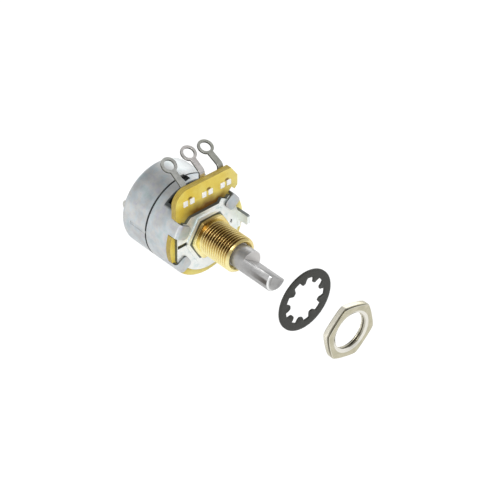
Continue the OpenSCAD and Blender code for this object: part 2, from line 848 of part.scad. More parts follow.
// One tooth of the washer, drawn along X from the rim inwards
module washer_tooth() {
    translate([washer_valley_r, washer_y + washer_t / 2, 0]) rotate([tooth_twist, 0, 0])
        translate([-washer_valley_r, -washer_t / 2, 0]) sheet(0, washer_t)
            polygon([[washer_valley_r + 0.3, -tooth_root_w / 2], [washer_valley_r + 0.3, tooth_root_w / 2],
                [washer_valley_r, tooth_root_w / 2 - 0.1], [tooth_tip_r + 0.25, tooth_tip_w / 2],
                [tooth_tip_r, tooth_tip_w / 2 - 0.3], [tooth_tip_r, 0.3 - tooth_tip_w / 2],
                [tooth_tip_r + 0.25, -tooth_tip_w / 2], [washer_valley_r, 0.1 - tooth_root_w / 2]]);
}

module lock_washer() {
    color("#383a3c") {
        sheet(washer_y, washer_t) ring(washer_valley_r, washer_d / 2);
        for (i = [0 : tooth_count - 1]) turned(washer_turn + i * 360 / tooth_count) washer_tooth();
    }
}

module hex_nut() {
    corner_r = nut_af / sqrt(3);
    rim_r = nut_bore_r + nut_mouth;
    color("wheat") turned(nut_turn) difference() {
        intersection() {
            sheet(nut_y, nut_t) hexagon(nut_af);
            union() {
                taper(corner_r - 2 * nut_corner_cut, corner_r + 0.1, nut_y, nut_corner_cut);
                barrel(corner_r + 0.1, nut_y + nut_corner_cut, nut_t - 2 * nut_corner_cut);
                taper(corner_r + 0.1, corner_r - 2 * nut_corner_cut, nut_y + nut_t - nut_corner_cut,
                    nut_corner_cut);
            }
        }
        barrel(nut_bore_r, nut_y - 1, nut_t + 2);
        taper(rim_r, nut_bore_r, nut_y, nut_chamfer);
        taper(nut_bore_r, rim_r, nut_y + nut_t - nut_chamfer, nut_chamfer);
    }
}

front_plate();
bushing();
element_board();
resistive_track();
collector_ring();
terminal_left();
terminal_centre();
terminal_right();
front_can();
rear_can();
insulating_disc();
switch_base();
switch_terminal_left();
switch_terminal_right();
rocker_pivot();
shaft();
retaining_ring();
rotor();
wiper();
drive_dog();
switch_rocker();
bridge_contact();
contact_spring();
lock_washer();
hex_nut();
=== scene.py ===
import json
import math

import bmesh
import bpy
import numpy as np
from mathutils import Matrix, Vector


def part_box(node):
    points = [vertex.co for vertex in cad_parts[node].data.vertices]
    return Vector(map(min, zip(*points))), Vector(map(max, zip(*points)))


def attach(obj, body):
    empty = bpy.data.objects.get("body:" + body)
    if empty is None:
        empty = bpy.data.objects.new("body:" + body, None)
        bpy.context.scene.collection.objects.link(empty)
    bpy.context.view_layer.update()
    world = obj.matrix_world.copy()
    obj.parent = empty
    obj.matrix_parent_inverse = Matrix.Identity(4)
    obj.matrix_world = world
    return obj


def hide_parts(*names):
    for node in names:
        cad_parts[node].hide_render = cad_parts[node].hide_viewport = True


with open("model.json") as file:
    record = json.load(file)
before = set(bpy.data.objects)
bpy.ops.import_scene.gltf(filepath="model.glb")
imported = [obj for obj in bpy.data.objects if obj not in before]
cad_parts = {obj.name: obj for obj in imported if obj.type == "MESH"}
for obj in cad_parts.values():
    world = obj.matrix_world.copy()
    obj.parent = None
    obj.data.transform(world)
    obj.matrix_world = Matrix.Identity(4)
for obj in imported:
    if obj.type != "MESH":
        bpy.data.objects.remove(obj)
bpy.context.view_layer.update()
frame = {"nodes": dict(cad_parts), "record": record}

MM = 0.001


def span(node):
    """The lowest and highest corners of a node at rest, in millimetres."""
    lowest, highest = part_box(node)
    return np.array(lowest) / MM, np.array(highest) / MM


# Sizes of the turned pieces, in millimetres
BUSHING_R = 4.7625
BUSHING_FRONT = -10.5
BORE_R = 3.215
MOUTH_R = 3.965
THREAD_PITCH = 25.4 / 32
THREAD_DEPTH = 0.36
SHOULDER_AF = 11.1
SHOULDER_T = 1.1
TAIL_R = 4.0
STAKE_R = 4.7
STAKE_END = 2.8
NUT_AF = 14.29
NUT_TURN = 44
NUT_BORE_R = BUSHING_R + 0.05
NUT_MOUTH = 0.9
NUT_CHAMFER = 0.4
NUT_FRONT, NUT_REAR = span("hex_nut")[0][1], span("hex_nut")[1][1]
SHAFT_CHAMFER_Y = span("shaft")[0][1] + 0.6

# Sizes of the lock washer and its teeth
WASHER_R = 8.4
WASHER_VALLEY_R = 6.3
WASHER_T = 0.5
WASHER_Y = (span("lock_washer")[0][1] + span("lock_washer")[1][1]) / 2
WASHER_TURN = 16
TOOTH_COUNT = 9
TOOTH_TIP_R = 4.85
TOOTH_TWIST = 9
TOOTH_ROOT_HALF_W = 1.25
TOOTH_TAPER = 0.62
TOOTH_NOSE = 0.28

# Places on the stamped, cut and drawn pieces that their finishes follow
PLATE_FRONT = 1.4
LUG_X = 9.5
BOARD_FRONT = 2.3
BOARD_REAR = span("element_board")[1][1]
TERMINAL_PITCH = 6
SPOT_X, SPOT_Z = 0.55, 13.15
SPOT_HALF_W, SPOT_HALF_H = 0.75, 0.5
WINDOW_REAR = BOARD_REAR + 4.6
CAN_R = span("rear_can")[1][0]
CAN_REAR = span("rear_can")[1][1]
SEAM_Y = (span("insulating_disc")[0][1] + span("insulating_disc")[1][1]) / 2

# How many steps a turned piece has round it, and their angles in degrees
AROUND = 192
ANGLES = np.arange(AROUND) * 360.0 / AROUND


# Mesh helpers

def finished_object(name, mesh):
    """A new object for a mesh, linked to the scene, at the origin."""
    thing = bpy.data.objects.new(name, mesh)
    bpy.context.scene.collection.objects.link(thing)
    return thing


def baked(thing):
    """Turns an object's modifiers into its mesh."""
    graph = bpy.context.evaluated_depsgraph_get()
    mesh = bpy.data.meshes.new_from_object(thing.evaluated_get(graph))
    thing.modifiers.clear()
    thing.data = mesh
    return thing


def smooth(thing, angle=32):
    """Smooth shading with sharp edges where the faces meet at more than an angle."""
    mesh = thing.data
    mesh.polygons.foreach_set("use_smooth", [True] * len(mesh.polygons))
    mesh.set_sharp_from_angle(angle=math.radians(angle))
    mesh.update()
    return thing


def bevelled(thing, width, segments=3, angle=30):
    """Breaks a piece's sharp edges with a small round."""
    bevel = thing.modifiers.new("edges", "BEVEL")
    bevel.width = width * MM
    bevel.segments = segments
    bevel.limit_method = "ANGLE"
    bevel.angle_limit = math.radians(angle)
    bevel.use_clamp_overlap = True
    weigh = thing.modifiers.new("normals", "WEIGHTED_NORMAL")
    weigh.keep_sharp = False
    smooth(thing, 180)
    return baked(thing)


def face_outwards(mesh):
    """Turns all faces of a closed mesh outwards."""
    work = bmesh.new()
    work.from_mesh(mesh)
    bmesh.ops.recalc_face_normals(work, faces=work.faces)
    work.to_mesh(mesh)
    work.free()


def softened(node, name, width):
    """A copy of a node of the frame with its sharp edges broken, or kept for a width of zero."""
    mesh = frame["nodes"][node].data.copy()
    work = bmesh.new()
    work.from_mesh(mesh)
    bmesh.ops.remove_doubles(work, verts=work.verts, dist=0.002 * MM)
    bmesh.ops.dissolve_limit(work, angle_limit=math.radians(0.8),
                             verts=work.verts, edges=work.edges)
    work.to_mesh(mesh)
    work.free()
    mesh.materials.clear()
    piece = finished_object(name, mesh)
    return bevelled(piece, width) if width else smooth(piece)


def line(start, end, count):
    """Points from start towards end, without the end itself."""
    start, end = np.array(start, float), np.array(end, float)
    return [tuple(start + (end - start) * i / count) for i in range(count)]


def hexagon_radius(across_flats, turn, corner_round):
    """The radius of a hexagon with rounded corners at each step round it."""
    off = (ANGLES - turn + 30) % 60 - 30
    flat = across_flats / 2 / np.cos(np.radians(30 - np.abs(off)))
    limit = across_flats / math.sqrt(3) - corner_round
    blend = 14.0
    return (flat ** -blend + limit ** -blend) ** (-1 / blend)


def turned_mesh(name, section, outline):
    """A closed solid turned round the Y axis from a closed section.

    Each point of the section has a radius, a y and a share: with a share of zero the radius counts
    from the axis, and with one it counts from the outline.
    """
    rings = []
    for radius, y, share in section:
        r = radius * (1 - share) + (outline + radius) * share
        rings.append(np.stack([r * np.cos(np.radians(ANGLES)), np.full(AROUND, y),
                               r * np.sin(np.radians(ANGLES))], axis=1))
    points = np.concatenate(rings) * MM
    count = len(section)
    faces = []
    for i in range(count):
        a, b = i * AROUND, (i + 1) % count * AROUND
        for j in range(AROUND):
            k = (j + 1) % AROUND
            faces.append((a + j, a + k, b + k, b + j))
    mesh = bpy.data.meshes.new(name)
    mesh.from_pydata(points.tolist(), [], faces)
    face_outwards(mesh)
    return finished_object(name, mesh)


# Node helpers

class Nodes:
    """A node tree with short calls to add and link its nodes."""

    def __init__(self, tree):
        self.tree = tree

    def feed(self, socket, source):
        """Links a socket to another one, or sets its value."""
        if isinstance(source, bpy.types.NodeSocket):
            self.tree.links.new(source, socket)
        else:
            socket.default_value = source

    def node(self, kind, sources=(), **settings):
        made = self.tree.nodes.new(kind)
        for key, setting in settings.items():
            setattr(made, key, setting)
        for key, source in dict(sources).items():
            self.feed(made.inputs[key], source)
        return made

    def math(self, operation, *sources):
        made = self.node("ShaderNodeMath", operation=operation)
        for socket, source in zip(made.inputs, sources):
            self.feed(socket, source)
        return made.outputs[0]

    def sum(self, first, second):
        return self.math("ADD", first, second)

    def less(self, first, second):
        return self.math("SUBTRACT", first, second)

    def product(self, first, *others):
        for other in others:
            first = self.math("MULTIPLY", first, other)
        return first

    def parts(self, vector):
        """The X, Y and Z of a vector."""
        return tuple(self.node("ShaderNodeSeparateXYZ", {0: vector}).outputs)


class Modelling(Nodes):
    """A geometry node tree with named inputs, which one object after another runs through."""

    def __init__(self, name, **sockets):
        super().__init__(bpy.data.node_groups.new(name, "GeometryNodeTree"))
        self.tree.interface.new_socket("Geometry", in_out="OUTPUT", socket_type="NodeSocketGeometry")
        for label, kind in sockets.items():
            self.tree.interface.new_socket(label.replace("_", " "), in_out="INPUT", socket_type=kind)
        self.start = self.tree.nodes.new("NodeGroupInput")

    def value(self, label):
        return self.start.outputs[label]

    def finish(self, geometry):
        """Realizes the instances, sets the material and ends the tree."""
        real = self.node("GeometryNodeRealizeInstances", {"Geometry": geometry})
        paint = self.node("GeometryNodeSetMaterial", {"Geometry": real.outputs[0],
                                                      "Material": self.value("Material")})
        self.node("NodeGroupOutput", {0: paint.outputs[0]})

    def run(self, thing, **values):
        """Runs the tree on an object and leaves the result as its plain mesh."""
        modifier = thing.modifiers.new(self.tree.name, "NODES")
        modifier.node_group = self.tree
        for item in self.tree.interface.items_tree:
            key = item.name.replace(" ", "_")
            if item.in_out == "INPUT" and key in values:
                modifier[item.identifier] = values[key]
        baked(thing)


def thread_tree():
    """Cuts a screw thread into a turned wall: inwards for a depth above zero, else outwards."""
    tree = Modelling("cut_thread", Geometry="NodeSocketGeometry", Wall_radius="NodeSocketFloat",
                     Pitch="NodeSocketFloat", Depth="NodeSocketFloat", From="NodeSocketFloat",
                     To="NodeSocketFloat", Fade="NodeSocketFloat", Material="NodeSocketMaterial")
    x, y, z = tree.parts(tree.node("GeometryNodeInputPosition").outputs[0])
    radius = tree.math("SQRT", tree.sum(tree.product(x, x), tree.product(z, z)))
    turn = tree.math("DIVIDE", tree.math("ARCTAN2", z, x), 2 * math.pi)
    along = tree.less(tree.math("DIVIDE", y, tree.value("Pitch")), turn)
    wave = tree.math("PINGPONG", along, 0.5)
    groove = tree.node("ShaderNodeMapRange", {0: wave, 1: 0.06, 2: 0.42, 3: 0.0, 4: 1.0},
                       interpolation_type="SMOOTHSTEP")
    enter = tree.node("ShaderNodeMapRange", {0: tree.less(y, tree.value("From")),
                                             1: 0.0, 2: tree.value("Fade"), 3: 0.0, 4: 1.0})
    leave = tree.node("ShaderNodeMapRange", {0: tree.less(tree.value("To"), y),
                                             1: 0.0, 2: tree.value("Fade"), 3: 0.0, 4: 1.0})
    on_wall = tree.math("COMPARE", radius, tree.value("Wall radius"), 0.02 * MM)
    share = tree.product(tree.product(groove.outputs[0], on_wall),
                         tree.product(enter.outputs[0], leave.outputs[0]))
    depth = tree.product(share, tree.value("Depth"))
    factor = tree.less(1.0, tree.math("DIVIDE", depth, radius))
    moved = tree.node("ShaderNodeCombineXYZ", {0: tree.product(x, factor), 1: y,
                                               2: tree.product(z, factor)})
    marked = tree.node("GeometryNodeStoreNamedAttribute",
                       {"Geometry": tree.value("Geometry"), "Name": "groove", "Value": share},
                       data_type="FLOAT", domain="POINT")
    cut = tree.node("GeometryNodeSetPosition", {"Geometry": marked.outputs[0],
                                                "Position": moved.outputs[0]})
    tree.finish(cut.outputs[0])
    return tree


def ring_tree():
    """Sets copies of one sector round the Y axis and welds them into a ring."""
    tree = Modelling("repeat_round_axis", Geometry="NodeSocketGeometry", Count="NodeSocketInt",
                     Turn="NodeSocketFloat", Material="NodeSocketMaterial")
    points = tree.node("GeometryNodePoints", {"Count": tree.value("Count")})
    index = tree.node("GeometryNodeInputIndex")
    step = tree.math("DIVIDE", 2 * math.pi, tree.value("Count"))
    angle = tree.sum(tree.product(index.outputs[0], step), tree.value("Turn"))
    turned = tree.node("ShaderNodeCombineXYZ", {0: 0.0, 1: tree.product(angle, -1.0), 2: 0.0})
    copies = tree.node("GeometryNodeInstanceOnPoints", {"Points": points.outputs[0],
                                                        "Instance": tree.value("Geometry"),
                                                        "Rotation": turned.outputs[0]})
    real = tree.node("GeometryNodeRealizeInstances", {"Geometry": copies.outputs[0]})
    weld = tree.node("GeometryNodeMergeByDistance", {"Geometry": real.outputs[0],
                                                     "Distance": 0.002 * MM})
    tree.finish(weld.outputs[0])
    return tree


# Finishes

class Finish(Nodes):
    """A material with its principled shader and short calls to build its pattern."""

    def __init__(self, name, metallic, roughness):
        self.material = bpy.data.materials.new(name)
        self.material.use_nodes = True
        super().__init__(self.material.node_tree)
        self.shader = self.tree.nodes["Principled BSDF"]
        self.shader.inputs["Metallic"].default_value = metallic
        self.shader.inputs["Roughness"].default_value = roughness
        place = self.node("ShaderNodeTexCoord")
        in_mm = self.node("ShaderNodeMapping", {"Vector": place.outputs["Object"],
                                                "Scale": (1 / MM, 1 / MM, 1 / MM)})
        self.place = in_mm.outputs[0]
        self.normal = place.outputs["Normal"]

    # Places and directions

    def stretched(self, scale):
        """The piece's own millimetres, stretched by a scale on each axis."""
        return self.node("ShaderNodeMapping", {"Vector": self.place, "Scale": scale}).outputs[0]

    def from_axis(self):
        """The place seen along the Y axis: the vector away from that axis."""
        flat = self.node("ShaderNodeVectorMath", {0: self.place, 1: (1, 0, 1)}, operation="MULTIPLY")
        return flat.outputs[0]

    def radial(self):
        """The direction away from the Y axis."""
        return self.node("ShaderNodeVectorMath", {0: self.from_axis()}, operation="NORMALIZE").outputs[0]

    def towards(self, vector, way):
        """How far a vector reaches in a direction."""
        dot = self.node("ShaderNodeVectorMath", {0: vector, 1: way}, operation="DOT_PRODUCT")
        return dot.outputs["Value"]

    # Patterns

    def noise(self, scale, detail=3.0, roughness=0.5, place=None):
        made = self.node("ShaderNodeTexNoise", {"Vector": place or self.place, "Scale": scale,
                                                "Detail": detail, "Roughness": roughness})
        return made.outputs["Fac"]

    def ramp(self, source, stops):
        made = self.node("ShaderNodeValToRGB", {"Fac": source})
        band = made.color_ramp
        while len(band.elements) < len(stops):
            band.elements.new(0.5)
        for element, (place, colour) in zip(band.elements, stops):
            element.position = place
            element.color = (*colour, 1)
        return made.outputs[0]

    def mix(self, share, first, second, blend="MIX"):
        """Two colours, or two values, mixed by a share."""
        made = self.node("ShaderNodeMix", data_type="RGBA", blend_type=blend)
        for socket, source in ((made.inputs[0], share), (made.inputs[6], first), (made.inputs[7], second)):
            self.feed(socket, (*source, 1) if isinstance(source, tuple) else source)
        return made.outputs[2]

    def spread(self, source, low, high, start=0.3, end=0.7):
        """A value that goes from low to high while its source goes from start to end."""
        return self.node("ShaderNodeMapRange", {0: source, 1: start, 2: end, 3: low, 4: high}).outputs[0]

    def rising(self, source, start, end):
        """Zero up to the start, one from the end on."""
        return self.spread(source, 0.0, 1.0, start, end)

    def falling(self, source, start, end):
        """One up to the start, zero from the end on."""
        return self.spread(source, 1.0, 0.0, start, end)

    def largest(self, first, *others):
        for other in others:
            first = self.math("MAXIMUM", first, other)
        return first

    def absolute(self, source):
        return self.math("ABSOLUTE", source)

    # What the shader takes

    def colour(self, source):
        self.feed(self.shader.inputs["Base Color"], source)

    def metallic(self, source):
        self.feed(self.shader.inputs["Metallic"], source)

    def roughness(self, source):
        self.feed(self.shader.inputs["Roughness"], source)

    def bump(self, source, depth):
        made = self.node("ShaderNodeBump", {"Height": source, "Distance": depth * MM, "Strength": 1.0})
        self.feed(self.shader.inputs["Normal"], made.outputs[0])


def zinc_can():
    """Dull zinc on drawn steel, cloudy grey with faint tints: painted shade at cut edges, along the seam
    and in openings, a painted shadow behind the window, a painted highlight on top.
    """
    # The dark colour is painted shade; the pale one is a painted highlight.
    shade_colour, highlight_colour = (0.09, 0.10, 0.10), (0.93, 0.97, 0.96)
    finish = Finish("zinc_can", 0.55, 0.4)
    cloud = finish.noise(0.25, 5.0, 0.6)
    tint = finish.ramp(finish.noise(0.4, 3.0, 0.6), [
        (0.32, (0.56, 0.64, 0.64)), (0.45, (0.63, 0.67, 0.70)),
        (0.56, (0.67, 0.67, 0.65)), (0.68, (0.61, 0.61, 0.66))])
    dull = finish.ramp(cloud, [
        (0.3, (0.72, 0.73, 0.74)), (0.55, (0.92, 0.93, 0.93)), (0.7, (1.0, 1.0, 1.0))])
    x, y, z = finish.parts(finish.place)
    radial = finish.radial()
    outward = finish.towards(finish.normal, radial)
    slope = finish.absolute(finish.parts(finish.normal)[1])

    # Painted shade on the cut edges: faces that point neither outwards nor along the axis.
    cut = finish.product(finish.falling(outward, 0.35, 0.7), finish.falling(slope, 0.35, 0.8))
    # Painted shade along the seam between the cups, fading out towards the upper right.
    upper_right = finish.product(finish.rising(x, 0.6, 1.4), finish.rising(z, 4.0, 6.0))
    seam_shade = finish.product(finish.falling(finish.absolute(finish.sum(y, -SEAM_Y)), 0.18, 0.30),
                          finish.spread(upper_right, 1.0, 0.15, 0.0, 1.0))
    # A painted shadow on the wall just behind the window's rear edge.
    window_shadow = finish.product(finish.falling(y, WINDOW_REAR + 0.40, WINDOW_REAR + 0.55),
                            finish.rising(z, 8.5, 8.9))
    # Painted shade on the inside of the wall, behind the board.
    reach = finish.node("ShaderNodeVectorMath", {0: finish.from_axis()}, operation="LENGTH")
    opening_shade = finish.product(finish.falling(reach.outputs["Value"], CAN_R - 0.62, CAN_R - 0.52),
                            finish.rising(y, BOARD_REAR, BOARD_REAR + 0.3),
                            finish.falling(y, CAN_REAR - 1.2, CAN_REAR - 1.0))
    # All the painted shade of the can together.
    dark = finish.largest(cut, seam_shade, window_shadow, opening_shade)

    # A painted highlight on top of the rear cup, where the light falls, on its walls only.
    upper = finish.towards(radial, (0.34, 0, 0.94))
    top_highlight = finish.product(finish.spread(upper, 0.0, 0.6, 0.91, 0.98),
                          finish.rising(y, SEAM_Y, SEAM_Y + 3),
                          finish.falling(slope, 0.2, 0.6))
    sheet = finish.mix(top_highlight, finish.mix(1.0, tint, dull, "MULTIPLY"), highlight_colour)
    finish.colour(finish.mix(dark, sheet, shade_colour))
    grain = finish.noise(7.0, 3.0, 0.6)
    drawn = finish.noise(1.2, 3.0, 0.6, finish.stretched((1.0, 0.12, 1.0)))
    finish.roughness(finish.spread(finish.mix(0.5, cloud, grain), 0.32, 0.5))
    finish.bump(finish.mix(0.5, grain, drawn), 0.012)
    return finish.material


def zinc_plate():
    """Bright zinc on the stamped plate, lighter towards the lug, with painted shade at its cut edges and a
    painted shadow round the shoulder.
    """
    shade_colour, bright_end = (0.16, 0.18, 0.17), (0.95, 1.0, 0.98)
    finish = Finish("zinc_plate", 0.7, 0.4)
    cloud = finish.noise(0.5, 4.0, 0.6)
    face = finish.ramp(cloud, [
        (0.3, (0.72, 0.81, 0.80)), (0.5, (0.92, 0.95, 0.93)), (0.7, (0.97, 0.97, 0.93))])
    x, y, _ = finish.parts(finish.place)
    _, normal_y, normal_z = finish.parts(finish.normal)

    on_lug = finish.rising(x, LUG_X - 0.3, LUG_X)
    on_sheet = finish.product(finish.rising(y, PLATE_FRONT - 0.05, PLATE_FRONT + 0.05),
                              finish.less(1.0, on_lug))
    # Painted shade on the sheet's cut edges and on the lug's edges.
    rim = finish.product(finish.falling(finish.absolute(normal_y), 0.3, 0.8), on_sheet)
    lug_edge_shade = finish.product(finish.rising(finish.absolute(normal_z), 0.5, 0.8), on_lug)
    sides = [finish.absolute(finish.towards(finish.place, (math.cos(a), 0, math.sin(a))))
             for a in (math.pi / 6, math.pi / 2, math.pi * 5 / 6)]
    # A painted shadow in a thin line round the bushing's hexagonal shoulder.
    shoulder_shadow = finish.falling(finish.largest(*sides), SHOULDER_AF / 2 + 0.10, SHOULDER_AF / 2 + 0.22)
    # All the painted shade of the plate together.
    dark = finish.largest(rim, lug_edge_shade, shoulder_shadow)

    bright = finish.mix(finish.spread(x, 0.0, 0.8, 6.0, LUG_X), face, bright_end)
    finish.colour(finish.mix(dark, bright, shade_colour))
    grain = finish.noise(9.0, 2.0, 0.5)
    finish.roughness(finish.spread(grain, 0.36, 0.48))
    finish.bump(finish.mix(0.4, grain, cloud), 0.012)
    return finish.material


def bushing_brass():
    """Turned brass, with painted shade in the thread's grooves, a painted dark reflection along its upper
    left side and a painted highlight along its lower left side.
    """
    # A painted dark reflection colour and a painted highlight colour for the crests.
    dark_reflection, pale = (0.19, 0.095, 0.02), (1.0, 0.90, 0.46)
    # Painted shade for the grooves, brown and black, and a painted highlight in them.
    groove_shade_brown, groove_shade_black, groove_highlight = (0.30, 0.15, 0.03), (0.07, 0.03, 0.006), (0.92, 0.68, 0.24)
    finish = Finish("bushing_brass", 1.0, 0.2)
    groove = finish.node("ShaderNodeAttribute", attribute_name="groove").outputs["Fac"]
    cloud = finish.noise(0.5, 3.0, 0.5)
    metal = finish.ramp(cloud, [(0.3, (0.80, 0.62, 0.23)), (0.7, (0.93, 0.78, 0.36))])
    radial = finish.radial()
    upper = finish.spread(finish.towards(radial, (-0.52, 0, 0.854)), 0.0, 0.95, 0.62, 0.94)
    # A painted highlight along the lower left side.
    lower_left_highlight = finish.rising(finish.towards(radial, (-0.94, 0, -0.34)), 0.55, 0.95)
    on_shoulder = finish.spread(finish.parts(finish.place)[1], 0.0, 0.8, -0.7, -0.2)
    in_groove = finish.spread(groove, 0.35, 1.0, 0.0, 0.12)
    # A painted dark reflection along the upper left side, on the grooves and the shoulder.
    upper_dark_reflection = finish.product(upper, finish.largest(in_groove, on_shoulder))
    crest = finish.mix(upper_dark_reflection, finish.mix(lower_left_highlight, metal, pale), dark_reflection)
    # Painted shade in the grooves, black on the upper side, with a painted highlight on the lower left.
    deep = finish.mix(upper, groove_shade_brown, groove_shade_black)
    deep = finish.mix(finish.product(lower_left_highlight, 0.75), deep, groove_highlight)
    finish.colour(finish.mix(finish.rising(groove, 0.25, 0.95), crest, deep))
    turning = finish.noise(1.0, 2.0, 0.5, finish.stretched((0.4, 14.0, 0.4)))
    finish.roughness(finish.spread(turning, 0.18, 0.32))
    finish.bump(turning, 0.004)
    return finish.material


def phenolic_board():
    """Yellow phenolic paper board: warm patches, fine fibres, dark brown low in its middle and in a spot
    just above each terminal's pads.
    """
    pale, dark_brown = (0.90, 0.82, 0.34), (0.14, 0.06, 0.004)
    finish = Finish("phenolic_board", 0.0, 0.42)
    cloud = finish.noise(0.3, 3.0, 0.5)
    base = finish.ramp(cloud, [
        (0.3, (0.80, 0.60, 0.08)), (0.55, (0.86, 0.69, 0.14)), (0.75, (0.88, 0.77, 0.21))])
    fibre = finish.noise(3.0, 4.0, 0.7, finish.stretched((1.0, 6.0, 4.0)))
    streak = finish.ramp(fibre, [(0.35, (0.90, 0.86, 0.76)), (0.65, (1.0, 1.0, 1.0))])
    x, _, z = finish.parts(finish.place)
    faded = finish.largest(finish.spread(x, 0.0, 0.6, 4.0, 10.0), finish.spread(z, 0.6, 0.0, -11.5, -7.0))
    sheet = finish.mix(1.0, finish.mix(faded, base, pale), streak, "MULTIPLY")

    # Darker brown low in the middle of the board, towards the plate.
    height = finish.sum(z, finish.spread(finish.noise(0.25, 2.0, 0.5), -0.9, 0.9))
    brown = finish.product(finish.falling(height, 8.6, 11.8),
                           finish.rising(height, 4.5, 6.5),
                           finish.spread(finish.absolute(x), 1.0, 0.25, 4.0, 9.0))
    # A dark brown spot just above each terminal's pads.
    beside = finish.math("WRAP", finish.sum(x, -SPOT_X), TERMINAL_PITCH / 2, -TERMINAL_PITCH / 2)
    across = finish.product(beside, 1 / SPOT_HALF_W)
    rise = finish.product(finish.sum(z, -SPOT_Z), 1 / SPOT_HALF_H)
    away = finish.sum(finish.product(across, across), finish.product(rise, rise))
    brown_spot = finish.spread(away, 0.85, 0.0, 0.3, 1.2)
    faced = finish.mix(finish.largest(brown, brown_spot), sheet, dark_brown)

    side = finish.falling(finish.absolute(finish.parts(finish.normal)[1]), 0.3, 0.8)
    layers = finish.noise(2.0, 2.0, 0.5, finish.stretched((0.3, 9.0, 0.3)))
    cut = finish.ramp(layers, [(0.35, (0.34, 0.23, 0.035)), (0.65, (0.56, 0.43, 0.10))])
    finish.colour(finish.mix(side, faced, cut))
    finish.roughness(finish.spread(fibre, 0.3, 0.45))
    finish.bump(fibre, 0.006)
    finish.shader.inputs["Specular IOR Level"].default_value = 0.25
    return finish.material


def tinned_terminal():
    """Tinned brass sheet: dull faces, painted shade on the cut edges of the front row, and bright solder on
    the clinched prongs.
    """
    shade_colour, solder = (0.10, 0.10, 0.08), (0.95, 0.95, 0.93)
    finish = Finish("tinned_terminal", 0.9, 0.28)
    cloud = finish.noise(0.8, 3.0, 0.5)
    x, y, _ = finish.parts(finish.place)
    normal_x, _, normal_z = finish.parts(finish.normal)
    tone = finish.ramp(finish.rising(x, -7.0, 7.0), [
        (0.15, (0.62, 0.62, 0.58)), (0.5, (0.84, 0.79, 0.76)), (0.85, (0.52, 0.52, 0.46))])
    dull = finish.ramp(cloud, [(0.35, (0.8, 0.8, 0.8)), (0.65, (1.0, 1.0, 1.0))])
    face = finish.mix(1.0, tone, dull, "MULTIPLY")

    # Painted shade on the cut edges of the front row of terminals.
    along = finish.towards(finish.normal, (0, 0.87, 0.5))
    sides = finish.rising(finish.absolute(normal_x), 0.3, 0.7)
    ends = finish.product(finish.rising(finish.absolute(along), 0.5, 0.85),
                          finish.rising(finish.absolute(normal_z), 0.1, 0.35))
    on_front_row = finish.falling(y, 13.0, 14.0)
    edge_shaded = finish.mix(finish.product(finish.largest(sides, ends), on_front_row), face, shade_colour)
    on_prongs = finish.falling(y, BOARD_FRONT - 0.1, BOARD_FRONT)
    finish.colour(finish.mix(on_prongs, edge_shaded, solder))
    finish.metallic(finish.spread(y, 0.1, 0.9, BOARD_FRONT - 0.1, BOARD_FRONT))
    finish.roughness(finish.spread(cloud, 0.22, 0.36))
    finish.bump(cloud, 0.01)
    return finish.material


def nickel_nut():
    """Nickel plate, with painted highlights in the mouth's chamfer and on the upper left side, painted
    shade along that side's front edge and in the thread's grooves.
    """
    # A painted highlight colour for the chamfer, and a painted lit colour for the upper left side.
    bright, lit_side = (0.93, 0.91, 0.85), (0.80, 0.76, 0.64)
    # Painted shade colours for the front edge and the thread's grooves.
    shade_colour, groove_shade = (0.08, 0.07, 0.04), (0.07, 0.06, 0.04)
    finish = Finish("nickel_nut", 1.0, 0.2)
    groove = finish.node("ShaderNodeAttribute", attribute_name="groove").outputs["Fac"]
    cloud = finish.noise(0.6, 3.0, 0.5)
    metal = finish.ramp(cloud, [(0.35, (0.51, 0.48, 0.35)), (0.65, (0.61, 0.57, 0.43))])
    slope = finish.absolute(finish.parts(finish.normal)[1])
    # A painted highlight in the mouth's chamfer.
    chamfer = finish.product(finish.spread(slope, 0.0, 0.75, 0.80, 0.88), finish.falling(slope, 0.94, 0.98))
    # A painted highlight on the upper left side.
    upper = finish.towards(finish.normal, (-0.695, 0, 0.719))
    side = finish.product(finish.rising(upper, 0.45, 0.65), finish.falling(slope, 0.1, 0.25))
    # Painted shade along the front edge of the upper left side.
    at_front = finish.falling(finish.parts(finish.place)[1], NUT_FRONT + 0.45, NUT_FRONT + 0.75)
    edge = finish.product(finish.spread(upper, 0.0, 0.9, 0.3, 0.5), at_front,
                          finish.falling(slope, 0.6, 0.9))
    plated = finish.mix(chamfer, metal, bright)
    plated = finish.mix(side, plated, lit_side)
    plated = finish.mix(edge, plated, shade_colour)
    # Painted shade in the thread's grooves.
    finish.colour(finish.mix(finish.rising(groove, 0.3, 0.9), plated, groove_shade))
    # Less metallic where the upper left side has its painted highlight.
    finish.metallic(finish.spread(side, 1.0, 0.35, 0.0, 1.0))
    finish.roughness(finish.spread(cloud, 0.14, 0.24))
    finish.bump(cloud, 0.0015)
    return finish.material


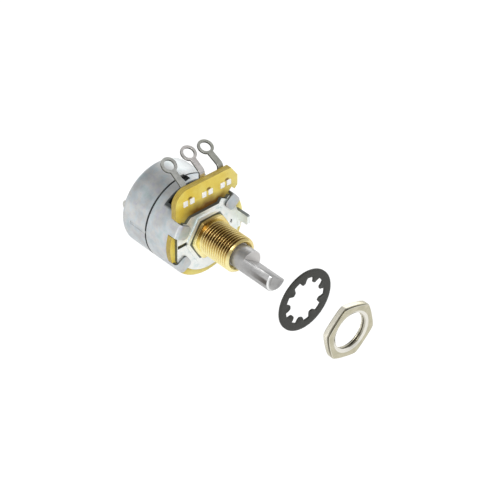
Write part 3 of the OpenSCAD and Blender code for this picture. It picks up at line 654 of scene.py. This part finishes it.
def shaft_steel():
    """Satin ground steel, with painted highlights on the end's chamfer and on the step, and a painted dark
    reflection in a strip beside the flat.
    """
    # Painted highlight colours for the chamfer and the step, and a painted dark reflection colour beside
    # the flat.
    bright, step_highlight, strip_reflection_dark = (0.92, 0.92, 0.91), (0.66, 0.64, 0.62), (0.11, 0.10, 0.09)
    finish = Finish("shaft_steel", 0.6, 0.34)
    marks = finish.noise(2.0, 3.0, 0.6, finish.stretched((0.6, 6.0, 0.6)))
    cloud = finish.noise(0.6, 3.0, 0.5)
    ground = finish.ramp(finish.mix(0.4, cloud, marks), [
        (0.35, (0.36, 0.355, 0.35)), (0.65, (0.46, 0.455, 0.45))])
    y = finish.parts(finish.place)[1]
    _, normal_y, normal_z = finish.parts(finish.normal)
    slope = finish.absolute(normal_y)
    at_end = finish.falling(y, SHAFT_CHAMFER_Y - 0.05, SHAFT_CHAMFER_Y + 0.05)
    # A painted highlight on the end's chamfer.
    chamfer = finish.product(at_end, finish.rising(slope, 0.45, 0.6), finish.falling(slope, 0.8, 0.95))
    # A painted highlight on the step.
    step = finish.product(finish.rising(slope, 0.9, 0.98), finish.less(1.0, at_end))

    # A painted dark reflection in a strip on the upper round side beside the flat, near the end.
    radial_x, _, radial_z = finish.parts(finish.radial())
    flat_side_reflection = finish.product(finish.rising(radial_z, -0.10, 0.02),
                           finish.falling(radial_x, -0.95, -0.90),
                           finish.falling(finish.absolute(normal_z), 0.5, 0.8),
                           finish.rising(y, SHAFT_CHAMFER_Y - 0.55, SHAFT_CHAMFER_Y),
                           finish.falling(y, SHAFT_CHAMFER_Y + 1, SHAFT_CHAMFER_Y + 8))
    steel = finish.mix(step, ground, step_highlight)
    steel = finish.mix(flat_side_reflection, steel, strip_reflection_dark)
    finish.colour(finish.mix(chamfer, steel, bright))
    finish.roughness(finish.spread(marks, 0.28, 0.42))
    finish.bump(marks, 0.004)
    return finish.material


def rolled(name, dark, light, roughness):
    """Rolled or drawn metal with fine marks along one way."""
    finish = Finish(name, 1.0, roughness)
    marks = finish.noise(2.0, 3.0, 0.6, finish.stretched((0.6, 6.0, 0.6)))
    cloud = finish.noise(0.6, 3.0, 0.5)
    finish.colour(finish.ramp(finish.mix(0.4, cloud, marks), [(0.35, dark), (0.65, light)]))
    finish.roughness(finish.spread(marks, roughness - 0.06, roughness + 0.08))
    finish.bump(marks, 0.004)
    return finish.material


def speckled(name, dark, light, roughness, scale=4.0, depth=0.01, metallic=0.0):
    """Moulded, printed, blackened or fibre stock with a fine speckle."""
    finish = Finish(name, metallic, roughness)
    grain = finish.noise(scale, 3.0, 0.6)
    finish.colour(finish.ramp(grain, [(0.35, dark), (0.65, light)]))
    finish.roughness(finish.spread(grain, roughness - 0.06, roughness + 0.08))
    finish.bump(grain, depth)
    return finish.material


FINISHES = {
    "zinc_plate": zinc_plate(),
    "bushing_brass": bushing_brass(),
    "phenolic_board": phenolic_board(),
    "carbon_print": speckled("carbon_print", (0.02, 0.02, 0.02), (0.05, 0.05, 0.055), 0.55),
    "silver_print": speckled("silver_print", (0.55, 0.55, 0.53), (0.68, 0.68, 0.66), 0.4, metallic=0.8),
    "tinned_terminal": tinned_terminal(),
    "zinc_can": zinc_can(),
    "black_fibre": speckled("black_fibre", (0.008, 0.008, 0.008), (0.02, 0.02, 0.02), 0.7),
    "moulded_base": speckled("moulded_base", (0.05, 0.025, 0.012), (0.09, 0.045, 0.02), 0.4),
    "shaft_steel": shaft_steel(),
    "spring_steel": rolled("spring_steel", (0.30, 0.31, 0.32), (0.45, 0.46, 0.47), 0.3),
    "dark_moulding": speckled("dark_moulding", (0.015, 0.012, 0.01), (0.03, 0.024, 0.02), 0.45),
    "contact_bronze": rolled("contact_bronze", (0.60, 0.38, 0.16), (0.75, 0.50, 0.24), 0.3),
    "brown_fibre": speckled("brown_fibre", (0.10, 0.05, 0.02), (0.16, 0.08, 0.035), 0.6),
    "black_steel": speckled("black_steel", (0.040, 0.040, 0.036), (0.062, 0.062, 0.056), 0.42,
                            scale=5.0, depth=0.008, metallic=0.6),
    "nickel_nut": nickel_nut(),
}

SLOTS = {row["node"]: row["material_slot"] for row in frame["record"]["subparts"]}
BODIES = {node: body for body, nodes in frame["record"]["behaviour"]["bodies"].items() for node in nodes}


def keep(piece, *nodes):
    """Gives a finished piece its finish, its body and the nodes that it stands for."""
    slot = SLOTS[nodes[0]]
    if not piece.data.materials:
        piece.data.materials.append(FINISHES[slot])
    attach(piece, BODIES[nodes[0]])
    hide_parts(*nodes)


# Pieces

def make_bushing(thread):
    """The brass bushing with its screw thread and hexagonal shoulder, turned as one piece."""
    chamfer, edge = 0.6, 0.12
    front, mouth_end = BUSHING_FRONT, BUSHING_FRONT + MOUTH_R - BORE_R
    section = []
    section += [(BUSHING_R, y, 0) for r, y in line((BUSHING_R, 0), (BUSHING_R, front + chamfer), 210)]
    section += [(r, y, 0) for r, y in line((BUSHING_R, front + chamfer), (BUSHING_R - chamfer, front), 5)]
    section += [(r, y, 0) for r, y in line((BUSHING_R - chamfer, front), (MOUTH_R, front), 2)]
    section += [(r, y, 0) for r, y in line((MOUTH_R, front), (BORE_R, mouth_end), 4)]
    section += [(r, y, 0) for r, y in line((BORE_R, mouth_end), (BORE_R, STAKE_END), 8)]
    section += [(BORE_R, STAKE_END, 0), (STAKE_R, STAKE_END, 0), (STAKE_R, BOARD_FRONT, 0),
                (TAIL_R, BOARD_FRONT, 0), (TAIL_R, SHOULDER_T, 0)]
    section += [(-edge, SHOULDER_T, 1), (-edge * 0.3, SHOULDER_T - edge * 0.3, 1),
                (0, SHOULDER_T - edge, 1), (0, edge, 1), (-edge * 0.3, edge * 0.3, 1), (-edge, 0, 1)]
    piece = turned_mesh("bushing_threaded", section, hexagon_radius(SHOULDER_AF, 0, edge))
    thread.run(piece, Wall_radius=BUSHING_R * MM, Pitch=THREAD_PITCH * MM, Depth=THREAD_DEPTH * MM,
               From=(front + 0.1) * MM, To=-0.5 * MM, Fade=0.5 * MM, Material=FINISHES["bushing_brass"])
    smooth(piece, 50)
    keep(piece, "bushing")


def make_nut(thread):
    """The panel nut with broken edges and its inner thread."""
    edge, corner = 0.28, 0.25
    mouth_r = NUT_BORE_R + NUT_MOUTH
    wall_front, wall_rear = NUT_FRONT + NUT_CHAMFER, NUT_REAR - NUT_CHAMFER
    eighths = [math.pi * i / 8 for i in range(5)]
    section = [(r, y, 0) for r, y in line((NUT_BORE_R, wall_rear), (NUT_BORE_R, wall_front), 36)]
    section += [(r, y, 0) for r, y in line((NUT_BORE_R, wall_front), (mouth_r, NUT_FRONT), 6)]
    section += [(mouth_r, NUT_FRONT, 0), (-edge * 2, NUT_FRONT, 1), (-edge, NUT_FRONT, 1)]
    section += [(edge * (math.sin(a) - 1), NUT_FRONT + edge * (1 - math.cos(a)), 1) for a in eighths[1:]]
    section += [(edge * (math.cos(a) - 1), NUT_REAR - edge * (1 - math.sin(a)), 1) for a in eighths]
    section += [(-edge * 2, NUT_REAR, 1), (mouth_r, NUT_REAR, 0)]
    section += [(r, y, 0) for r, y in line((mouth_r, NUT_REAR), (NUT_BORE_R, wall_rear), 6)]
    piece = turned_mesh("hex_nut_threaded", section, hexagon_radius(NUT_AF, NUT_TURN, corner))
    thread.run(piece, Wall_radius=NUT_BORE_R * MM, Pitch=THREAD_PITCH * MM, Depth=-THREAD_DEPTH * MM,
               From=(NUT_FRONT + 0.1) * MM, To=(NUT_REAR - 0.1) * MM, Fade=0.3 * MM,
               Material=FINISHES["nickel_nut"])
    smooth(piece, 40)
    keep(piece, "hex_nut")


def washer_sector():
    """One sector of the lock washer: its part of the rim with one twisted tooth."""
    half_sector = 180.0 / TOOTH_COUNT
    root_half = math.degrees(TOOTH_ROOT_HALF_W / WASHER_VALLEY_R)
    across = np.linspace(-1, 1, 9)
    gap = np.linspace(root_half, half_sector, 4)[1:]
    columns = list(-gap[::-1]) + list(across * root_half) + list(gap)
    first = len(gap)
    rows = np.linspace(WASHER_VALLEY_R, WASHER_R, 4)
    tooth_rows = np.linspace(0, 1, 9)[1:]
    layers = []
    for side in (-1, 1):
        flat = [[(r * math.cos(math.radians(a)), side * WASHER_T / 2, r * math.sin(math.radians(a)))
                 for a in columns] for r in rows]
        tooth = []
        for t in tooth_rows:
            reach = WASHER_VALLEY_R + (TOOTH_TIP_R - WASHER_VALLEY_R) * t
            half_w = TOOTH_ROOT_HALF_W - TOOTH_TAPER * min(t / 0.85, 1)
            half_w -= TOOTH_NOSE * max(0, (t - 0.8) / 0.2) ** 2
            twist = math.radians(TOOTH_TWIST) * min(1, t * 1.6)
            row = []
            for s in across:
                bow = (1 - t) * (reach - reach * math.cos(math.radians(s * root_half)))
                y, z = side * WASHER_T / 2, s * half_w
                row.append((reach - bow, y * math.cos(twist) - z * math.sin(twist),
                            y * math.sin(twist) + z * math.cos(twist)))
            tooth.append(row)
        layers.append((flat, tooth))
    points, faces, number = [], [], {}

    def vertex(key, place):
        if key not in number:
            number[key] = len(points)
            points.append((place[0] * MM, (place[1] + WASHER_Y) * MM, place[2] * MM))
        return number[key]

    def at(layer, row, column):
        """A vertex of the grid: rows of zero and more are the rim, below zero the tooth."""
        flat, tooth = layers[layer]
        place = flat[row][column] if row >= 0 else tooth[-row - 1][column - first]
        return vertex((layer, row, column), place)

    def quad(*corners):
        faces.append(tuple(at(*c) for c in corners))

    last = len(columns) - 1
    tooth_columns = range(first, first + len(across) - 1)
    deepest = -len(tooth_rows)
    for column in range(last):
        for row in range(len(rows) - 1):
            quad((0, row, column), (0, row, column + 1), (0, row + 1, column + 1), (0, row + 1, column))
            quad((1, row, column), (1, row + 1, column), (1, row + 1, column + 1), (1, row, column + 1))
        rim = len(rows) - 1
        quad((0, rim, column), (0, rim, column + 1), (1, rim, column + 1), (1, rim, column))
        if column not in tooth_columns:
            quad((0, 0, column), (1, 0, column), (1, 0, column + 1), (0, 0, column + 1))
    for column in tooth_columns:
        for row in range(deepest, 0):
            quad((0, row, column), (0, row, column + 1), (0, row + 1, column + 1), (0, row + 1, column))
            quad((1, row, column), (1, row + 1, column), (1, row + 1, column + 1), (1, row, column + 1))
        quad((0, deepest, column), (1, deepest, column), (1, deepest, column + 1), (0, deepest, column + 1))
    for column in (first, first + len(across) - 1):
        for row in range(deepest, 0):
            quad((0, row, column), (0, row + 1, column), (1, row + 1, column), (1, row, column))
    mesh = bpy.data.meshes.new("washer_sector")
    mesh.from_pydata(points, [], faces)
    return finished_object("lock_washer_stamped", mesh)


def make_washer(ring):
    """The internal-tooth lock washer, stamped from sheet."""
    piece = washer_sector()
    ring.run(piece, Count=TOOTH_COUNT, Turn=math.radians(WASHER_TURN), Material=FINISHES["black_steel"])
    face_outwards(piece.data)
    bevelled(piece, 0.07, segments=2, angle=40)
    keep(piece, "lock_washer")


# How wide the broken edges are, in millimetres; the shaft keeps its sharp ones
SOFT_EDGES = {
    "front_plate": 0.10, "element_board": 0.06, "front_can": 0.05, "rear_can": 0.05,
    "terminal_left": 0.07, "terminal_centre": 0.07, "terminal_right": 0.07,
    "switch_terminal_left": 0.07, "switch_terminal_right": 0.07, "switch_base": 0.12, "shaft": 0,
}


def make_softened():
    """The visible stamped, cut, drawn and moulded pieces, with their edges broken, and the shaft."""
    for node, width in SOFT_EDGES.items():
        keep(softened(node, node + "_finished", width), node)


def dress_inner_nodes():
    """The nodes that stay as they are get their finish."""
    for node, thing in frame["nodes"].items():
        if not thing.hide_render:
            for slot in thing.material_slots:
                slot.material = FINISHES[SLOTS[node]]


# Stage

CAMERA_AZIMUTH, CAMERA_ELEVATION, CAMERA_ROLL = -42.946, 37.434, 1.141
CAMERA_LENS = 159.47
CAMERA_PLACE = (-0.29139, -0.32668, 0.33110)
FLOOR_Z = -40 * MM
DARK_PATCH_WAY = (-0.19, 0.58, 0.791)


def add_camera():
    """The camera, at the photograph's viewing angle."""
    azimuth, elevation = math.radians(CAMERA_AZIMUTH), math.radians(CAMERA_ELEVATION)
    roll = math.radians(CAMERA_ROLL)
    back = Vector((math.sin(azimuth) * math.cos(elevation), -math.cos(azimuth) * math.cos(elevation),
                   math.sin(elevation)))
    level = Vector((math.cos(azimuth), math.sin(azimuth), 0))
    rise = back.cross(level)
    right = math.cos(roll) * level + math.sin(roll) * rise
    up = math.cos(roll) * rise - math.sin(roll) * level
    data = bpy.data.cameras.new("camera")
    data.sensor_width = 36
    data.lens = CAMERA_LENS
    data.clip_end = 10
    camera = finished_object("camera", data)
    camera.matrix_world = Matrix((right, up, back)).transposed().to_4x4()
    camera.location = CAMERA_PLACE
    bpy.context.scene.camera = camera


def add_lamp(name, place, aim, size, power):
    """A soft rectangular lamp that looks at a point."""
    data = bpy.data.lights.new(name, "AREA")
    data.shape = "RECTANGLE"
    data.size, data.size_y = size
    data.energy = power
    lamp = finished_object(name, data)
    lamp.location = place
    lamp.rotation_euler = (Vector(aim) - Vector(place)).to_track_quat("-Z", "Y").to_euler()


def add_floor():
    """A plain pale floor that keeps a faint shadow."""
    bpy.ops.mesh.primitive_plane_add(size=6, location=(0, 0, FLOOR_Z))
    floor = bpy.context.object
    floor.name = "floor"
    material = bpy.data.materials.new("floor_white")
    material.use_nodes = True
    nodes = Nodes(material.node_tree)
    nodes.tree.nodes.remove(nodes.tree.nodes["Principled BSDF"])
    rays = nodes.node("ShaderNodeLightPath").outputs
    seen = nodes.math("MAXIMUM", rays["Is Camera Ray"], rays["Is Glossy Ray"])
    matt = nodes.node("ShaderNodeBsdfDiffuse", {"Color": (0.8, 0.8, 0.8, 1)})
    faint = nodes.node("ShaderNodeBsdfDiffuse", {"Color": (0.22, 0.22, 0.22, 1)})
    lift = nodes.math("MULTIPLY_ADD", rays["Is Glossy Ray"], -0.12, 0.9)
    glow = nodes.node("ShaderNodeEmission", {"Strength": lift})
    white = nodes.node("ShaderNodeAddShader", {0: faint.outputs[0], 1: glow.outputs[0]})
    shown = nodes.node("ShaderNodeMixShader", {0: seen, 1: matt.outputs[0], 2: white.outputs[0]})
    nodes.feed(nodes.tree.nodes["Material Output"].inputs["Surface"], shown.outputs[0])
    floor.data.materials.append(material)


def add_world():
    """White behind the object, and a pale room with a dark patch overhead for the metal to reflect."""
    world = bpy.data.worlds.new("studio")
    bpy.context.scene.world = world
    world.use_nodes = True
    nodes = Nodes(world.node_tree)
    way = nodes.node("ShaderNodeTexCoord").outputs["Generated"]
    near_patch = nodes.node("ShaderNodeVectorMath", {0: way, 1: DARK_PATCH_WAY}, operation="DOT_PRODUCT")
    shade = nodes.node("ShaderNodeValToRGB", {"Fac": near_patch.outputs["Value"]})
    pale, dark = shade.color_ramp.elements
    pale.position, pale.color = 0.82, (0.58, 0.59, 0.60, 1)
    dark.position, dark.color = 0.94, (0.05, 0.05, 0.05, 1)
    room = nodes.tree.nodes["Background"]
    nodes.feed(room.inputs["Color"], shade.outputs[0])
    white = nodes.node("ShaderNodeBackground", {"Color": (1, 1, 1, 1)})
    rays = nodes.node("ShaderNodeLightPath").outputs
    shown = nodes.node("ShaderNodeMixShader", {0: rays["Is Camera Ray"], 1: room.outputs[0],
                                               2: white.outputs[0]})
    nodes.feed(nodes.tree.nodes["World Output"].inputs["Surface"], shown.outputs[0])


def add_lights():
    """Three soft boxes: above the camera, behind at the right, and low at the left."""
    target = (0, -0.01, 0.0)
    add_lamp("key_lamp", (-0.28, -0.42, 0.50), target, (0.35, 0.3), 2.6)
    add_lamp("side_lamp", (0.50, 0.30, 0.25), target, (0.3, 0.4), 0.6)
    add_lamp("low_lamp", (-0.45, 0.05, 0.10), target, (0.25, 0.25), 0.4)


add_camera()
cut_thread = thread_tree()
make_bushing(cut_thread)
make_nut(cut_thread)
make_washer(ring_tree())
make_softened()
dress_inner_nodes()
add_floor()
add_world()
add_lights()
bpy.context.scene.view_settings.view_transform = "Standard"
